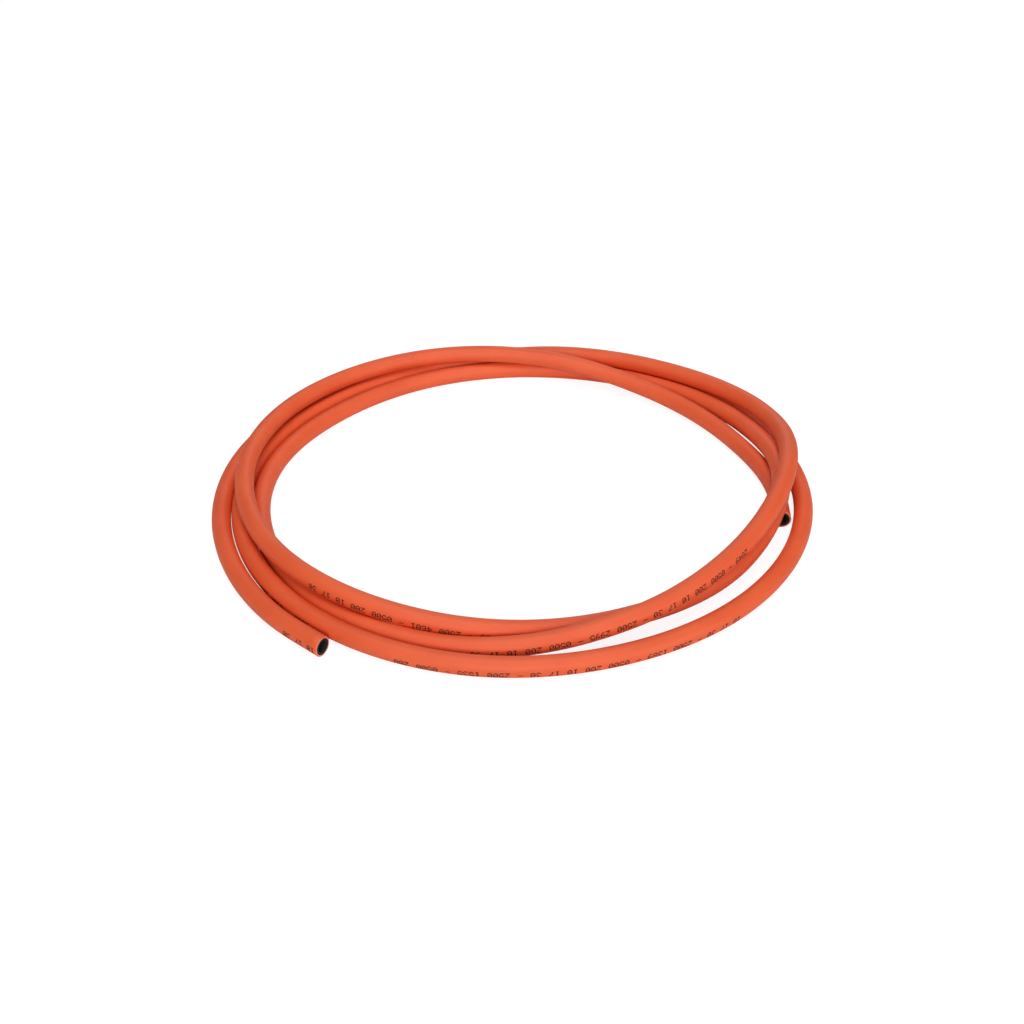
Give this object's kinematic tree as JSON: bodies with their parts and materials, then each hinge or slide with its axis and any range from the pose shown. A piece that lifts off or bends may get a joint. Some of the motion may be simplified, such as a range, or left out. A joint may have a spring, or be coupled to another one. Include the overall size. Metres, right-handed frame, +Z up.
{
  "type": "rubber gas hose",
  "caption": "Loose flat coil of orange rubber gas hose with a black lining, bare and cut square at both ends, lying on the ground.",
  "frame": {"origin": "on the ground under the middle of the coil's outline", "axes": "+Z up, away from the ground; -Y towards the viewer of the picture; the front cut end is at the front left, towards -X and -Y"},
  "size_m": [0.5456, 0.5388, 0.0548],
  "materials": {
    "cover": "satin",
    "lining": "matte"
  },
  "bodies": {
    "root": {"cover": "cover", "lining": "lining"}
  },
  "joints": []
}
